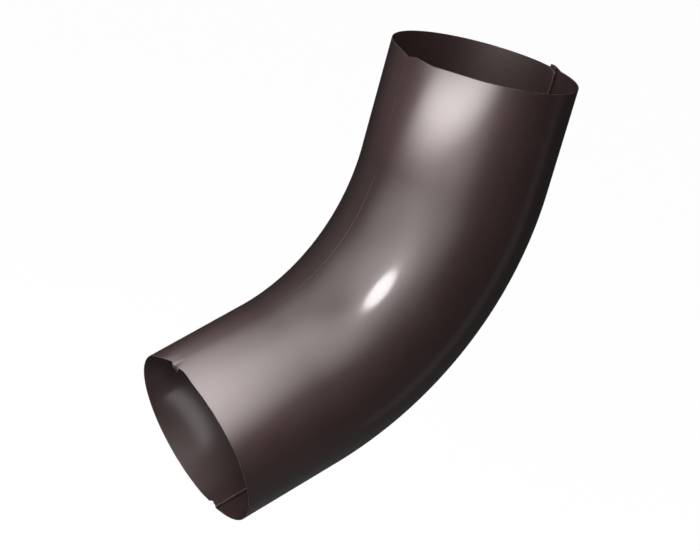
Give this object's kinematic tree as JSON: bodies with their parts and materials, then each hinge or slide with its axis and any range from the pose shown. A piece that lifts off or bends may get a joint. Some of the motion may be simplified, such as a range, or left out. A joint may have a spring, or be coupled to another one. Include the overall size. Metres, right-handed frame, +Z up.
{
  "type": "round downspout elbow",
  "caption": "Round sheet-metal downspout elbow that turns rainwater sixty degrees, made of two half shells joined by folded seams.",
  "frame": {"origin": "centre of the inlet (upper, wider) mouth, in its rim's plane", "axes": "+Z up the inlet leg's axis and out of the inlet mouth; +X towards the heel, the bend's long side; the outlet points to -X and down, 60 degrees off -Z; +Y completes the right-handed frame, across the bend"},
  "size_m": [0.1761, 0.09, 0.2295],
  "materials": {
    "coated_steel": "gloss chocolate-brown coating on thin galvanised sheet steel"
  },
  "bodies": {
    "root": {"left_half_shell": "coated_steel", "right_half_shell": "coated_steel"}
  },
  "joints": []
}
